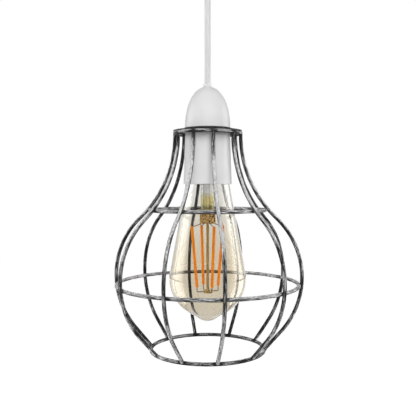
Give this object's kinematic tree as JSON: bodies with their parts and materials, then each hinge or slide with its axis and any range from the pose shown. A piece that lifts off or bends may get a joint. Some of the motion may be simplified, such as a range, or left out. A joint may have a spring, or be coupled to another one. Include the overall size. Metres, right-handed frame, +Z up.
{
  "type": "wire cage lamp shade",
  "caption": "Balloon-shaped welded wire cage shade hung on a white bayonet lampholder with a clear filament bulb, white flex and ceiling rose.",
  "frame": {"origin": "middle of the ceiling rose's face that lies on the ceiling", "axes": "+Z up along the lamp's axis, -Y towards the picture's camera, +X to the picture's right"},
  "size_m": [0.1576, 0.1552, 0.3387],
  "materials": {
    "cage_wire": "black lacquer dry-brushed with silver",
    "cage_plate": "dark lacquer with a little brushed silver",
    "holder_white": "white moulded, soft gloss",
    "contact_brass": "plain",
    "spring_steel": "plain",
    "core_sheath": "plain",
    "bulb_cap_metal": "satin",
    "insulator_black": "glassy black",
    "solder": "dull",
    "bulb_glass": "clear with a light amber tint",
    "stem_glass": "clear, faintly yellow",
    "filament_phosphor": "orange phosphor coat",
    "lead_metal": "dull wire",
    "flex_white": "smooth white sheath",
    "rose_white": "white moulded, soft gloss"
  },
  "bodies": {
    "root": {"rib_01": "cage_wire", "rib_02": "cage_wire", "rib_03": "cage_wire", "rib_04": "cage_wire", "rib_05": "cage_wire", "rib_06": "cage_wire", "rib_07": "cage_wire", "rib_08": "cage_wire", "rib_09": "cage_wire", "rib_10": "cage_wire", "top_ring": "cage_wire", "upper_hoop": "cage_wire", "belly_hoop": "cage_wire", "bottom_ring": "cage_wire", "top_plate": "cage_plate", "lampholder_cap": "holder_white", "lampholder_body": "holder_white", "lampholder_skirt": "holder_white", "contact_plungers": "contact_brass", "terminal_posts": "contact_brass", "rose_posts": "contact_brass", "plunger_springs": "spring_steel", "terminal_screws": "spring_steel", "holder_cores": "core_sheath", "rose_cores": "core_sheath", "bulb_cap": "bulb_cap_metal", "bulb_insulator": "insulator_black", "bulb_contacts": "solder", "glass_envelope": "bulb_glass", "bulb_stem": "stem_glass", "filament_1": "filament_phosphor", "filament_2": "filament_phosphor", "filament_3": "filament_phosphor", "filament_4": "filament_phosphor", "lead_wires": "lead_metal", "support_wires": "lead_metal", "flex": "flex_white", "rose_base": "rose_white", "rose_cover": "rose_white"}
  },
  "joints": []
}
